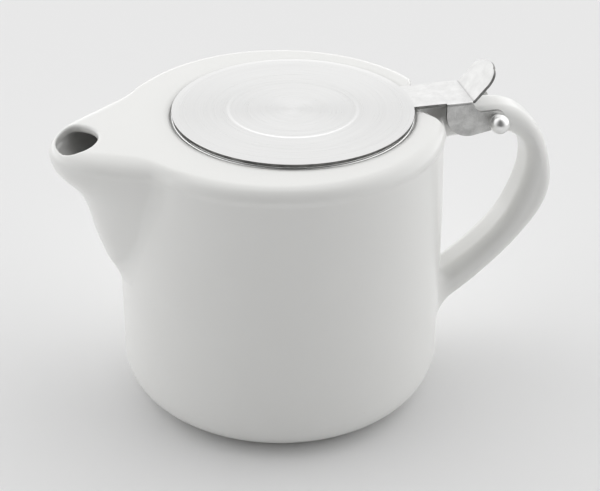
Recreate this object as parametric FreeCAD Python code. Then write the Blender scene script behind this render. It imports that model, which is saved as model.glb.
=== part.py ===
import FreeCAD, Part
import math
import os

V = FreeCAD.Vector
os.makedirs("parts", exist_ok=True)

# Teapot with a hinged steel lid and a drop-in steel infuser basket.
# Millimetres. Origin: centre of the foot ring, on the surface the pot stands on.
# +Z up, +X towards the handle, spout towards -X, mirror plane XZ.

# ---- ceramic vessel ----
BODY_R = 55.0          # outer radius of the straight wall
BODY_H = 100.4         # height of the flat top ring
BASE_CORNER_R = 13.0   # outer radius between wall and base
SHOULDER_R = 4.5       # outer radius between wall and top ring
WALL = 5.0             # wall thickness
FLOOR = 5.5            # floor thickness
TOP_PLATE_UNDER = 93.6 # underside of the top ring
INNER_CORNER_R = 9.0
FOOT_OUT_R = 41.5      # unglazed foot ring
FOOT_IN_R = 36.5
FOOT_DEPTH = 0.8
OPEN_X = 4.3           # the opening is offset from the body's axis, towards the handle
OPEN_R = 38.2          # clear opening through the top ring
SEAT_R = 40.6          # recess that the infuser's flange drops into
SEAT_Z = 99.2          # ledge of that recess
LIP_R = 1.6            # rounding of the recess's upper edge

# ---- spout: (height, keel x, half width where the spout leaves the wall) ----
SPOUT = [
    (44.0, -52.5, 3.0),
    (48.2, -55.4, 6.0),
    (52.0, -58.3, 8.4),
    (56.1, -60.1, 11.2),
    (60.2, -61.5, 13.8),
    (64.2, -62.8, 16.1),
    (68.1, -63.9, 18.5),
    (72.1, -64.8, 20.6),
    (76.0, -66.2, 22.5),
    (79.9, -67.9, 24.2),
    (83.6, -70.6, 25.7),
    (88.0, -74.3, 27.4),
    (91.9, -76.0, 28.3),
    (95.5, -76.2, 29.0),
    (98.5, -75.9, 29.3),
    (101.0, -75.4, 29.6),
]
BEAK_TOP_ROOT_Z = 100.4   # top of the beak where it leaves the ring
BEAK_TOP_TIP_Z = 98.0     # top of the beak at its tip
MOUTH_X, MOUTH_Z, MOUTH_R = -66.4, 98.9, 6.0
MOUTH_TILT = 12.0         # the mouth's plane dips towards the tip, degrees

# ---- handle ----
HANDLE_HALF_W = 7.8
HANDLE_EDGE_R = 3.3
HANDLE_OUT = [(48.0, 97.3), (60.0, 97.4), (69.0, 97.4), (75.0, 97.1), (79.1, 96.3), (82.8, 94.6),
              (86.3, 92.0), (88.9, 89.0), (90.8, 85.9), (92.5, 82.3), (93.9, 78.4), (95.0, 74.4),
              (95.7, 70.6), (96.0, 66.8), (95.6, 62.9), (94.6, 59.1), (92.8, 55.2), (90.4, 51.4),
              (87.7, 47.8), (84.6, 44.1), (81.3, 40.5), (77.5, 36.8), (73.6, 33.3), (69.3, 29.6),
              (64.7, 26.1), (59.9, 22.7), (53.6, 18.4), (48.0, 14.8)]
HANDLE_IN = [(48.0, 28.6), (54.0, 31.6), (61.1, 36.3), (68.2, 41.7), (74.7, 47.7), (80.0, 54.6),
             (83.7, 62.6), (85.3, 67.0), (86.1, 71.4), (86.3, 75.8), (85.7, 79.7), (84.0, 82.9),
             (81.4, 85.5), (77.9, 87.3), (73.5, 88.1), (66.0, 88.1), (58.0, 87.5), (48.0, 86.8)]

# ---- hinge ----
PIN_X, PIN_Z = 72.2, 94.3
PIN_R = 1.5
PIN_BORE_R = 1.58        # running fit in the handle's bore
BALL_R = 3.25
NECK_R = 2.3
NECK_L = 0.8
CAP_R = 3.6              # the far end is closed by a low domed cap
CAP_H = 2.4
TAIL_L = 1.2             # how far the rod reaches into the cap

# ---- lid: one folded sheet ----
SHEET = 1.0
LID_Z0 = 100.7           # underside
LID_R = 40.0
LID_DIMPLE_R = 21.7      # shallow pressed circle in the middle
LID_DIMPLE_D = 0.3
ARM_HALF_W = 9.3
FOLD_X = 64.2            # where the thumb tab turns up
EAR_X0 = 54.7            # where the ears turn down
EAR_Z = 90.6             # lowest edge of the ears
EAR_CORNER_R = 6.0
TAIL_R = 3.4             # ear's rounded end, about the pin
TAB_ANGLE = 49.0
TAB_LEN = 12.8
TAB_HALF_W = 8.3
TAB_CORNER_R = 5.2
TAB_CROWN = 0.9

# ---- infuser ----
FLANGE_R = 40.15
FLANGE_T = 0.7
FLANGE_Z0 = SEAT_Z + 0.1
BEAD_R = 38.9
BEAD_HALF = 0.55
COLLAR_R = 37.2
COLLAR_T = 0.6
COLLAR_Z0 = 86.0
MESH_T = 0.5
MESH_Z0 = 34.0
MESH_TOP = 90.0
PAN_T = 0.6
PAN_LIP = 4.0
HOLE_R = 0.9
HOLE_COLS = 36
HOLE_ROWS = 7


def polyline_face(pts):
    w = Part.makePolygon([V(*p) for p in pts] + [V(*pts[0])])
    return Part.Face(w)


def spline(pts):
    c = Part.BSplineCurve()
    c.interpolate([V(*p) for p in pts])
    return c.toShape()


def revolve(edges, cx=0.0, cy=0.0):
    face = Part.Face(Part.Wire(edges))
    return face.revolve(V(cx, cy, 0), V(0, 0, 1), 360)


def seg(a, b):
    return Part.LineSegment(V(a[0], 0, a[1]), V(b[0], 0, b[1])).toShape()


def arc(a, m, b):
    return Part.Arc(V(a[0], 0, a[1]), V(m[0], 0, m[1]), V(b[0], 0, b[1])).toShape()


def corner(cx, cz, r, deg):
    a = math.radians(deg)
    return (cx + r * math.cos(a), cz + r * math.sin(a))


# ================= vessel =================
R, H = BODY_R, BODY_H
rb, rs = BASE_CORNER_R, SHOULDER_R
outer = revolve([
    seg((0, 0), (R - rb, 0)),
    arc((R - rb, 0), corner(R - rb, rb, rb, -45), (R, rb)),
    seg((R, rb), (R, H - rs)),
    arc((R, H - rs), corner(R - rs, H - rs, rs, 45), (R - rs, H)),
    seg((R - rs, H), (0, H)),
    seg((0, H), (0, 0)),
])

# the spout is a loft through level sections: each runs from inside the wall, through
# the line where the spout leaves the wall, to a rounded keel
sections = []
for z, keel, rw in SPOUT:
    root_x = max(-math.sqrt(R ** 2 - rw ** 2), keel + 1.5)
    half = []
    for s in (0.16, 0.32, 0.48, 0.64, 0.80, 0.92, 1.0):
        t = s * s
        half.append((keel + (root_x - keel) * t, rw * s * (1 - 0.3 * t * (1 - t))))
    half.append((root_x + 4.0, rw + 4.0 * 0.8 * rw / (root_x - keel)))
    half = [(keel, 0.0)] + half
    nose = Part.BSplineCurve()
    nose.interpolate([V(x, -y, z) for x, y in reversed(half)] + [V(x, y, z) for x, y in half[1:]])
    ex, ey = half[-1]
    tail = [V(ex, ey, z), V(-40.0, ey * 0.9, z), V(-40.0, -ey * 0.9, z), V(ex, -ey, z)]
    edges = [nose.toShape()] + [Part.LineSegment(p, q).toShape() for p, q in zip(tail, tail[1:])]
    sections.append(Part.Wire(edges))
spout = Part.makeLoft(sections, True, False)
# the beak's top slopes gently down to the tip
slope = (BEAK_TOP_ROOT_Z - BEAK_TOP_TIP_Z) / 26.0
top_cut = polyline_face([
    (-20.0, -60, BEAK_TOP_ROOT_Z), (-50.0, -60, BEAK_TOP_ROOT_Z),
    (-90.0, -60, BEAK_TOP_ROOT_Z - slope * 40.0), (-90.0, -60, 130.0), (-20.0, -60, 130.0),
]).extrude(V(0, 120, 0))
spout = spout.cut(top_cut)

shell = outer.fuse(spout).removeSplitter()

# inside: a straight chamber under the top ring
ri, rc = R - WALL, INNER_CORNER_R
zt = TOP_PLATE_UNDER
chamber = revolve([
    seg((0, FLOOR), (ri - rc, FLOOR)),
    arc((ri - rc, FLOOR), corner(ri - rc, FLOOR + rc, rc, -45), (ri, FLOOR + rc)),
    seg((ri, FLOOR + rc), (ri, zt - 3.0)),
    arc((ri, zt - 3.0), corner(ri - 3.0, zt - 3.0, 3.0, 45), (ri - 3.0, zt)),
    seg((ri - 3.0, zt), (0, zt)),
    seg((0, zt), (0, FLOOR)),
])
# the opening, its ledge and its rounded lip, all on the offset axis
ox = OPEN_X
opening = revolve([
    seg((ox, zt - 1.0), (ox + OPEN_R, zt - 1.0)),
    seg((ox + OPEN_R, zt - 1.0), (ox + OPEN_R, SEAT_Z)),
    seg((ox + OPEN_R, SEAT_Z), (ox + SEAT_R, SEAT_Z)),
    seg((ox + SEAT_R, SEAT_Z), (ox + SEAT_R, H - 0.9)),
    arc((ox + SEAT_R, H - 0.9), corner(ox + SEAT_R + 1.6, H - 0.9, 1.6, 157), (ox + SEAT_R + 1.02, H + 0.36)),
    seg((ox + SEAT_R + 1.02, H + 0.36), (ox + SEAT_R + 1.02, H + 2.0)),
    seg((ox + SEAT_R + 1.02, H + 2.0), (ox, H + 2.0)),
    seg((ox, H + 2.0), (ox, zt - 1.0)),
], cx=ox)
# the spout's channel: wide where it leaves the chamber, round at the mouth
ma = math.radians(MOUTH_TILT)
mouth_n = V(-math.sin(ma), 0, math.cos(ma))
mouth_c = V(MOUTH_X, 0, MOUTH_Z)


def ring(c, n, r):
    return Part.Wire([Part.Circle(c, n, r).toShape()])


throat = Part.makeLoft([
    ring(V(-44.0, 0, 72.0), V(-0.80, 0, 0.60), 8.8),
    ring(V(-55.5, 0, 80.5), V(-0.74, 0, 0.67), 7.8),
    ring(V(-62.5, 0, 88.5), V(-0.58, 0, 0.81), 6.9),
    ring(mouth_c - mouth_n * 3.2, mouth_n, MOUTH_R),
], True, False)
mouth = Part.makeCylinder(MOUTH_R, 8.0, mouth_c - mouth_n * 3.2, mouth_n)
foot_recess = Part.makeCone(FOOT_IN_R, FOOT_IN_R - 2.0, FOOT_DEPTH, V(0, 0, 0), V(0, 0, 1))
pot_body = shell.cut(chamber).cut(opening).cut(throat).cut(mouth).cut(foot_recess)
pot_body = pot_body.removeSplitter()

# ================= handle =================
hw = HANDLE_HALF_W
eo = spline([(x, -hw, z) for x, z in HANDLE_OUT])
ei = spline([(x, -hw, z) for x, z in HANDLE_IN])
e1 = Part.LineSegment(V(HANDLE_OUT[-1][0], -hw, HANDLE_OUT[-1][1]), V(HANDLE_IN[0][0], -hw, HANDLE_IN[0][1])).toShape()
e2 = Part.LineSegment(V(HANDLE_IN[-1][0], -hw, HANDLE_IN[-1][1]), V(HANDLE_OUT[0][0], -hw, HANDLE_OUT[0][1])).toShape()
bow = Part.Face(Part.Wire([eo, e1, ei, e2])).extrude(V(0, 2 * hw, 0))
long_edges = [e for e in bow.Edges if e.Length > 60 and abs(e.BoundBox.YMax - e.BoundBox.YMin) < 0.01]
bow = bow.makeFillet(HANDLE_EDGE_R, long_edges)
bore = Part.makeCylinder(PIN_BORE_R, 4 * hw, V(PIN_X, -2 * hw, PIN_Z), V(0, 1, 0))
handle = bow.cut(outer).cut(bore)
handle = max(handle.Solids, key=lambda s: s.Volume)

# ================= lid =================
z0, z1 = LID_Z0, LID_Z0 + SHEET
disc = revolve([
    seg((ox, z0), (ox + LID_R - 0.3, z0)),
    arc((ox + LID_R - 0.3, z0), corner(ox + LID_R - 0.3, z0 + 0.3, 0.3, -45), (ox + LID_R, z0 + 0.3)),
    seg((ox + LID_R, z0 + 0.3), (ox + LID_R, z1 - 0.55)),
    arc((ox + LID_R, z1 - 0.55), corner(ox + LID_R - 0.4, z1 - 0.55, 0.4, 45), (ox + LID_R - 0.4, z1 - 0.15)),
    seg((ox + LID_R - 0.4, z1 - 0.15), (ox + LID_R - 3.6, z1)),
    seg((ox + LID_R - 3.6, z1), (ox + LID_DIMPLE_R, z1)),
    seg((ox + LID_DIMPLE_R, z1), (ox + LID_DIMPLE_R - 0.6, z1 - LID_DIMPLE_D)),
    seg((ox + LID_DIMPLE_R - 0.6, z1 - LID_DIMPLE_D), (ox, z1 - LID_DIMPLE_D)),
    seg((ox, z1 - LID_DIMPLE_D), (ox, z0)),
], cx=ox)
aw = ARM_HALF_W
arm = Part.makeBox(FOLD_X - 38.0, 2 * aw, SHEET, V(38.0, -aw, z0))
arm = arm.cut(Part.makeCylinder(LID_R - 0.4, 10, V(ox, 0, z0 - 5)))
disc_in = disc

# ears: flat plates folded down from the arm's two sides
er = EAR_CORNER_R


def ear(y):
    p = lambda x, z: V(x, y, z)
    px, pz, tr = PIN_X, PIN_Z, TAIL_R
    c45 = math.cos(math.radians(45))
    edges = [
        Part.LineSegment(p(EAR_X0, z1), p(EAR_X0, EAR_Z + er)).toShape(),
        Part.Arc(p(EAR_X0, EAR_Z + er), p(EAR_X0 + er - er * c45, EAR_Z + er - er * c45), p(EAR_X0 + er, EAR_Z)).toShape(),
        Part.LineSegment(p(EAR_X0 + er, EAR_Z), p(px, pz - tr)).toShape(),
        Part.Arc(p(px, pz - tr), p(px + tr, pz), p(px, pz + tr)).toShape(),
        Part.LineSegment(p(px, pz + tr), p(FOLD_X + 3.4, pz + tr)).toShape(),
        Part.Arc(p(FOLD_X + 3.4, pz + tr), p(FOLD_X + 3.4 - 3.4 * c45, pz + tr + 3.4 - 3.4 * c45), p(FOLD_X, pz + tr + 3.4)).toShape(),
        Part.LineSegment(p(FOLD_X, pz + tr + 3.4), p(FOLD_X, z1)).toShape(),
        Part.LineSegment(p(FOLD_X, z1), p(EAR_X0, z1)).toShape(),
    ]
    plate = Part.Face(Part.Wire(edges)).extrude(V(0, SHEET, 0))
    return plate.cut(Part.makeCylinder(PIN_R, 60, V(px, -30, pz), V(0, 1, 0)))


# thumb tab, turned up from the arm's end
ta = math.radians(TAB_ANGLE)
tdir = V(math.cos(ta), 0, math.sin(ta))
tnor = V(math.sin(ta), 0, -math.cos(ta))     # away from the disc, downwards
root = V(FOLD_X, 0, z1)


def tp(s, y):
    return root + tdir * s + V(0, y, 0)


L, tw, te = TAB_LEN, TAB_HALF_W, TAB_CORNER_R
h = te * (1 - math.cos(math.radians(45)))
edges = [
    Part.LineSegment(tp(0, -tw), tp(0, tw)).toShape(),
    Part.LineSegment(tp(0, tw), tp(L - TAB_CROWN - te, tw)).toShape(),
    Part.Arc(tp(L - TAB_CROWN - te, tw), tp(L - TAB_CROWN - h, tw - h), tp(L - TAB_CROWN, tw - te)).toShape(),
    Part.Arc(tp(L - TAB_CROWN, tw - te), tp(L, 0), tp(L - TAB_CROWN, te - tw)).toShape(),
    Part.Arc(tp(L - TAB_CROWN, te - tw), tp(L - TAB_CROWN - h, h - tw), tp(L - TAB_CROWN - te, -tw)).toShape(),
    Part.LineSegment(tp(L - TAB_CROWN - te, -tw), tp(0, -tw)).toShape(),
]
tab = Part.Face(Part.Wire(edges)).extrude(tnor * SHEET)
# the bend between arm and tab
bend = polyline_face([
    (FOLD_X - 0.01, -tw, z0), (FOLD_X - 0.01, -tw, z1), (FOLD_X, -tw, z1),
    (FOLD_X + SHEET * math.sin(ta), -tw, z1 - SHEET * math.cos(ta)), (FOLD_X + 0.42, -tw, z0 + 0.06),
]).extrude(V(0, 2 * tw, 0))
lid = disc.fuse([arm, ear(-aw), ear(aw - SHEET), tab, bend]).removeSplitter()

# ================= hinge pin and its cap =================
y_out = aw
rod = Part.makeCylinder(PIN_R, 2 * y_out + NECK_L + TAIL_L, V(PIN_X, -y_out - NECK_L, PIN_Z), V(0, 1, 0))
neck = Part.makeCylinder(NECK_R, NECK_L, V(PIN_X, -y_out - NECK_L, PIN_Z), V(0, 1, 0))
ball = Part.makeSphere(BALL_R, V(PIN_X, -y_out - NECK_L - BALL_R * 0.88, PIN_Z))
hinge_pin = rod.fuse([neck, ball]).removeSplitter()
dome = Part.makeSphere(CAP_R, V(PIN_X, y_out + CAP_H - CAP_R, PIN_Z))
dome = dome.common(Part.makeBox(20, 20, 20, V(PIN_X - 10, y_out, PIN_Z - 10)))
hinge_cap = dome.cut(rod).removeSplitter()

# ================= infuser =================
fz0, fz1 = FLANGE_Z0, FLANGE_Z0 + FLANGE_T
cr, ct = COLLAR_R, COLLAR_T
bz = LID_Z0 - 0.15
infuser_rim = revolve([
    seg((ox + cr - ct, COLLAR_Z0), (ox + cr, COLLAR_Z0)),
    seg((ox + cr, COLLAR_Z0), (ox + cr, fz0 - 0.6)),
    arc((ox + cr, fz0 - 0.6), corner(ox + cr + 0.6, fz0 - 0.6, 0.6, 135), (ox + cr + 0.6, fz0)),
    seg((ox + cr + 0.6, fz0), (ox + FLANGE_R - 0.3, fz0)),
    arc((ox + FLANGE_R - 0.3, fz0), (ox + FLANGE_R, (fz0 + fz1) / 2), (ox + FLANGE_R - 0.3, fz1)),
    seg((ox + FLANGE_R - 0.3, fz1), (ox + BEAD_R + BEAD_HALF, fz1)),
    seg((ox + BEAD_R + BEAD_HALF, fz1), (ox + BEAD_R + BEAD_HALF - 0.25, bz)),
    seg((ox + BEAD_R + BEAD_HALF - 0.25, bz), (ox + BEAD_R - BEAD_HALF + 0.25, bz)),
    seg((ox + BEAD_R - BEAD_HALF + 0.25, bz), (ox + BEAD_R - BEAD_HALF, fz1)),
    seg((ox + BEAD_R - BEAD_HALF, fz1), (ox + cr + 0.5, fz1)),
    arc((ox + cr + 0.5, fz1), corner(ox + cr + 0.5, fz1 - 1.1, 1.1, 135), (ox + cr - ct, fz1 - 1.1)),
    seg((ox + cr - ct, fz1 - 1.1), (ox + cr - ct, COLLAR_Z0)),
], cx=ox)

mr = cr - ct
mesh = Part.makeCylinder(mr, MESH_TOP - MESH_Z0, V(ox, 0, MESH_Z0))
mesh = mesh.cut(Part.makeCylinder(mr - MESH_T, MESH_TOP - MESH_Z0 + 2, V(ox, 0, MESH_Z0 - 1)))
drills = []
pitch = (COLLAR_Z0 - 4.0 - (MESH_Z0 + PAN_LIP + 3.0)) / (HOLE_ROWS - 1)
for i in range(HOLE_ROWS):
    z = MESH_Z0 + PAN_LIP + 3.0 + pitch * i
    for k in range(HOLE_COLS):
        t = math.radians((k + 0.5 * (i % 2)) * 360.0 / HOLE_COLS)
        d = V(math.cos(t), math.sin(t), 0)
        drills.append(Part.makeCylinder(HOLE_R, 2.0, V(ox, 0, z) + d * (mr - 1.25), d))
infuser_wall = mesh.cut(drills)

pr = mr - MESH_T
pan = revolve([
    seg((ox, MESH_Z0), (ox + pr - 1.2, MESH_Z0)),
    arc((ox + pr - 1.2, MESH_Z0), corner(ox + pr - 1.2, MESH_Z0 + 1.2, 1.2, -45), (ox + pr, MESH_Z0 + 1.2)),
    seg((ox + pr, MESH_Z0 + 1.2), (ox + pr, MESH_Z0 + PAN_LIP)),
    seg((ox + pr, MESH_Z0 + PAN_LIP), (ox + pr - PAN_T, MESH_Z0 + PAN_LIP)),
    seg((ox + pr - PAN_T, MESH_Z0 + PAN_LIP), (ox + pr - PAN_T, MESH_Z0 + 1.2)),
    arc((ox + pr - PAN_T, MESH_Z0 + 1.2), corner(ox + pr - 1.2, MESH_Z0 + 1.2, 0.6, -45), (ox + pr - 1.2, MESH_Z0 + PAN_T)),
    seg((ox + pr - 1.2, MESH_Z0 + PAN_T), (ox, MESH_Z0 + PAN_T)),
    seg((ox, MESH_Z0 + PAN_T), (ox, MESH_Z0)),
], cx=ox)
drills = []
for j in range(1, 6):
    rr = 6.0 * j
    n = 6 * j
    for k in range(n):
        t = 2 * math.pi * (k + 0.5 * (j % 2)) / n
        drills.append(Part.makeCylinder(HOLE_R, 4, V(ox + rr * math.cos(t), rr * math.sin(t), MESH_Z0 - 2)))
drills.append(Part.makeCylinder(HOLE_R, 4, V(ox, 0, MESH_Z0 - 2)))
infuser_base = pan.cut(drills)

NODES = {
    "pot_body": pot_body,
    "handle": handle,
    "lid": lid,
    "hinge_pin": hinge_pin,
    "hinge_cap": hinge_cap,
    "infuser_rim": infuser_rim,
    "infuser_wall": infuser_wall,
    "infuser_base": infuser_base,
}
for name, shape in NODES.items():
    solids = shape.Solids
    if len(solids) == 1:
        shape = solids[0]
    shape.exportStep("parts/%s.step" % name)
    b = shape.BoundBox
    print("%-14s solids %d valid %s vol %.1f  x %.1f..%.1f y %.1f..%.1f z %.1f..%.1f" % (
        name, len(solids), shape.isValid(), shape.Volume, b.XMin, b.XMax, b.YMin, b.YMax, b.ZMin, b.ZMax))
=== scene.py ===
import math

import bmesh
import bpy
import numpy as np
from mathutils import Matrix, Vector
from mathutils.geometry import delaunay_2d_cdt


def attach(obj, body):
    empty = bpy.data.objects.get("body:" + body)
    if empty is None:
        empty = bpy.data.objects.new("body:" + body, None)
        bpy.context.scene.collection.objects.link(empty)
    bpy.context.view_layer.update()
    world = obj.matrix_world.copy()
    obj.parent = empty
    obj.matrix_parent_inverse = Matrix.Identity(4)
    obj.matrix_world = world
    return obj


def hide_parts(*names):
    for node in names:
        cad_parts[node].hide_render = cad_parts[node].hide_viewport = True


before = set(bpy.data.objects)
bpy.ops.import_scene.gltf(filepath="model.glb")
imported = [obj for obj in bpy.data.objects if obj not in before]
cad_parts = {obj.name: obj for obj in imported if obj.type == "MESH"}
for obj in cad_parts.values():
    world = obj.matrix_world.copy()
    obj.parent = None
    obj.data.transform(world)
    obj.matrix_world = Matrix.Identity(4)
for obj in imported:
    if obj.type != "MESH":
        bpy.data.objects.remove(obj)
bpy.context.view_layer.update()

MM = 0.001
scene = bpy.context.scene

# =====================================================================
# sizes, in millimetres, the same as the CAD's
# =====================================================================
BODY_R, BODY_H = 55.0, 100.4
OX = 4.3                                  # axis of the opening, basket and lid
PIN_X, PIN_Z = 72.2, 94.3
LID_R, LID_Z1, SHEET = 40.0, 101.7, 1.0
FOLD_X = 64.2

SPOUT = [
    (44.0, -52.5, 3.0), (48.2, -55.4, 6.0), (52.0, -58.3, 8.6), (56.1, -60.1, 12.0), (60.2, -61.5, 15.4),
    (64.2, -62.8, 18.1), (68.1, -63.9, 20.4), (72.1, -64.8, 22.2), (76.0, -66.2, 23.7), (79.9, -67.9, 25.2),
    (83.6, -70.6, 26.9), (88.0, -74.3, 28.7), (91.9, -76.0, 29.9), (95.5, -76.2, 30.6), (98.5, -75.9, 30.8),
    (101.0, -75.4, 30.9)]
HANDLE_OUT = [
    (48.0, 97.3), (60.0, 97.4), (69.0, 97.4), (75.0, 97.1), (79.1, 96.3), (82.8, 94.6), (86.3, 92.0), (88.9, 89.0),
    (90.8, 85.9), (92.5, 82.3), (93.9, 78.4), (95.0, 74.4), (95.7, 70.6), (96.0, 66.8), (95.6, 62.9), (94.6, 59.1),
    (92.8, 55.2), (90.4, 51.4), (87.7, 47.8), (84.6, 44.1), (81.3, 40.5), (77.5, 36.8), (73.6, 33.3), (69.3, 29.6),
    (64.7, 26.1), (59.9, 22.7), (53.6, 18.4), (48.0, 14.8)]
HANDLE_IN = [
    (48.0, 28.6), (54.0, 31.6), (61.1, 36.3), (68.2, 41.7), (74.7, 47.7), (80.0, 54.6), (83.7, 62.6), (85.3, 67.0),
    (86.1, 71.4), (86.3, 75.8), (85.7, 79.7), (84.0, 82.9), (81.4, 85.5), (77.9, 87.3), (73.5, 88.1), (66.0, 88.1),
    (58.0, 87.5), (48.0, 86.8)]


def smooth_fit(u, y, ug, lam):
    """A curve through the points y(u), on the grid ug, with a penalty on the change of curvature."""
    u, y, ug = np.asarray(u, float), np.asarray(y, float), np.asarray(ug, float)
    n, h = len(ug), ug[1] - ug[0]
    a = np.zeros((len(u), n))
    k = np.clip(((u - ug[0]) / h).astype(int), 0, n - 2)
    w = (u - ug[k]) / h
    a[np.arange(len(u)), k], a[np.arange(len(u)), k + 1] = 1 - w, w
    d = np.diff(np.eye(n), 3, axis=0) / h ** 3
    return np.linalg.solve(a.T @ a + lam * h * d.T @ d, a.T @ y)


# ---- spout tables on a fine height grid ----
sz = np.array([s[0] for s in SPOUT])
ZG = np.linspace(40.0, 104.0, 321)
zc = np.linspace(40.0, 104.0, 129)
KEEL = np.interp(ZG, zc, smooth_fit(sz, [s[1] for s in SPOUT], zc, 6.0))
RW = np.interp(ZG, zc, smooth_fit(sz, [s[2] for s in SPOUT], zc, 20.0))
kern = np.hanning(9); kern /= kern.sum()


def ease(v):
    return np.convolve(np.pad(v, 4, "edge"), kern, "valid")


KEEL, RW = ease(KEEL), np.maximum(ease(RW), 1.2)
ROOT = -np.sqrt(BODY_R ** 2 - RW ** 2)
gap = (KEEL + 1.5) - ROOT
ROOT = ROOT + 0.5 * (gap + np.sqrt(gap ** 2 + 1.0))     # a soft maximum of the two
dK, dW, dR = np.gradient(KEEL, ZG), np.gradient(RW, ZG), np.gradient(ROOT, ZG)


def curve2d(pts, lam, n=260):
    p = np.array(pts, float)
    u = np.concatenate([[0], np.cumsum(np.linalg.norm(np.diff(p, axis=0), axis=1))])
    ug = np.linspace(0, u[-1], n)
    return np.stack([smooth_fit(u, p[:, 0], ug, lam), smooth_fit(u, p[:, 1], ug, lam)], 1)


def poly_sdf(px, pz, poly):
    """Signed distance to a closed polygon, negative inside."""
    d = np.full(px.shape, 1e9)
    inside = np.zeros(px.shape, bool)
    q = np.roll(poly, -1, axis=0)
    for (ax, az), (bx, bz) in zip(poly, q):
        ex, ez = bx - ax, bz - az
        l2 = ex * ex + ez * ez
        if l2 < 1e-12:
            continue
        wx, wz = px - ax, pz - az
        t = np.clip((wx * ex + wz * ez) / l2, 0, 1)
        d = np.minimum(d, (wx - ex * t) ** 2 + (wz - ez * t) ** 2)
        c = (az > pz) != (bz > pz)
        if az != bz:
            inside ^= c & (px < ax + (pz - az) / (bz - az) * ex)
    return np.where(inside, -1, 1) * np.sqrt(d)


class Lattice:
    """A 2D signed distance kept on a lattice, read with cubic interpolation."""

    def __init__(self, poly, x0, x1, z0, z1, h):
        self.x0, self.z0, self.h = x0, z0, h
        xs, zs = np.arange(x0, x1 + h, h), np.arange(z0, z1 + h, h)
        self.f = poly_sdf(*np.meshgrid(xs, zs, indexing="ij"), poly)
        self.nx, self.nz = len(xs), len(zs)

    def __call__(self, x, z):
        u, v = (x - self.x0) / self.h, (z - self.z0) / self.h
        cu, cv = np.clip(u, 1, self.nx - 3.001), np.clip(v, 1, self.nz - 3.001)
        i, j = cu.astype(int), cv.astype(int)
        a, b = cu - i, cv - j

        def w(t):
            return (-0.5 * t + t * t - 0.5 * t ** 3, 1 - 2.5 * t * t + 1.5 * t ** 3,
                    0.5 * t + 2 * t * t - 1.5 * t ** 3, -0.5 * t * t + 0.5 * t ** 3)
        wa, wb = w(a), w(b)
        out = 0.0
        for m in range(4):
            row = 0.0
            for n in range(4):
                row = row + wb[n] * self.f[i + m - 1, j + n - 1]
            out = out + wa[m] * row
        return out + self.h * np.hypot(u - cu, v - cv)


ho, hi_ = curve2d(HANDLE_OUT, 40.0), curve2d(HANDLE_IN, 40.0)
HANDLE = Lattice(np.concatenate([ho, hi_]), 40.0, 102.0, 6.0, 106.0, 0.25)
# the opening, its ledge and its soft rolled lip, as a cut, in (radius from the offset axis, height)
lip = [(0.0, 88.0), (38.2, 88.0), (38.2, 98.85), (38.28, 99.08), (38.5, 99.2), (40.2, 99.2), (40.48, 99.32), (40.6, 99.6)]
for a in np.radians(np.arange(6, 91, 6)):
    lip.append((43.1 - 2.5 * math.cos(a), 99.6 + 0.8 * math.sin(a)))
lip += [(43.1, 108.0), (0.0, 108.0)]
OPENING = Lattice(np.array(lip), 30.0, 52.0, 92.0, 104.0, 0.1)


def round_and(a, b, r):
    u, v = np.maximum(a + r, 0), np.maximum(b + r, 0)
    return np.minimum(-r, np.maximum(a, b)) + np.sqrt(u * u + v * v)


def round_or(a, b, r):
    u, v = np.maximum(r - a, 0), np.maximum(r - b, 0)
    return np.maximum(r, np.minimum(a, b)) - np.sqrt(u * u + v * v)


def smoothstep(x, a, b):
    t = np.clip((x - a) / (b - a), 0, 1)
    return t * t * (3 - 2 * t)


def rounded_box2(r, z, rad, z0, z1, rb, rt):
    c = np.where(z > 0.5 * (z0 + z1), rt, rb)
    qx, qz = r - rad + c, np.abs(z - 0.5 * (z0 + z1)) - 0.5 * (z1 - z0) + c
    return np.minimum(np.maximum(qx, qz), 0) + np.hypot(np.maximum(qx, 0), np.maximum(qz, 0)) - c


def spout_sdf(x, y, z):
    zz = np.clip(z, ZG[0], ZG[-1])
    keel, rw, root = np.interp(zz, ZG, KEEL), np.interp(zz, ZG, RW), np.interp(zz, ZG, ROOT)
    k1, w1, r1 = np.interp(zz, ZG, dK), np.interp(zz, ZG, dW), np.interp(zz, ZG, dR)
    ln = root - keel
    t = (x - keel) / ln
    tc = np.clip(t, 0, 1.25)
    s = 1 - 0.12 * tc * (1 - tc)
    g = tc * s * s + np.minimum(t, 0)
    g1 = s * s + 2 * tc * s * (-0.12 * (1 - 2 * tc))
    g1 = np.where(t < 0, 1.0, g1)
    f = (y / rw) ** 2 - g
    fx, fy = g1 / ln, 2 * y / rw ** 2
    # first-order distance in the level plane, corrected where the side wall is far off, then for the slope of the keel
    fl = fx * fx + fy * fy
    q = np.abs(y) / rw
    wy = fy * fy / fl
    d = f / np.sqrt(fl) * (1 + wy * (2 * q / (q + np.sqrt(np.maximum(g, 0)) + 1e-6) - 1))
    kz = k1 * fx * ln
    fz = np.where(np.abs(d) < 6, -2 * y * y * w1 / rw ** 3 * wy + g1 * (k1 + t * (r1 - k1)) / ln, kz / ln)
    tilt = np.clip(fz * fz / fl, 0, 1.5)
    d = d / np.sqrt(1 + tilt * (1 - smoothstep(np.abs(d), 2.0, 6.0)))
    return d + 0.8 * np.maximum(44.0 - z, 0)


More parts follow.
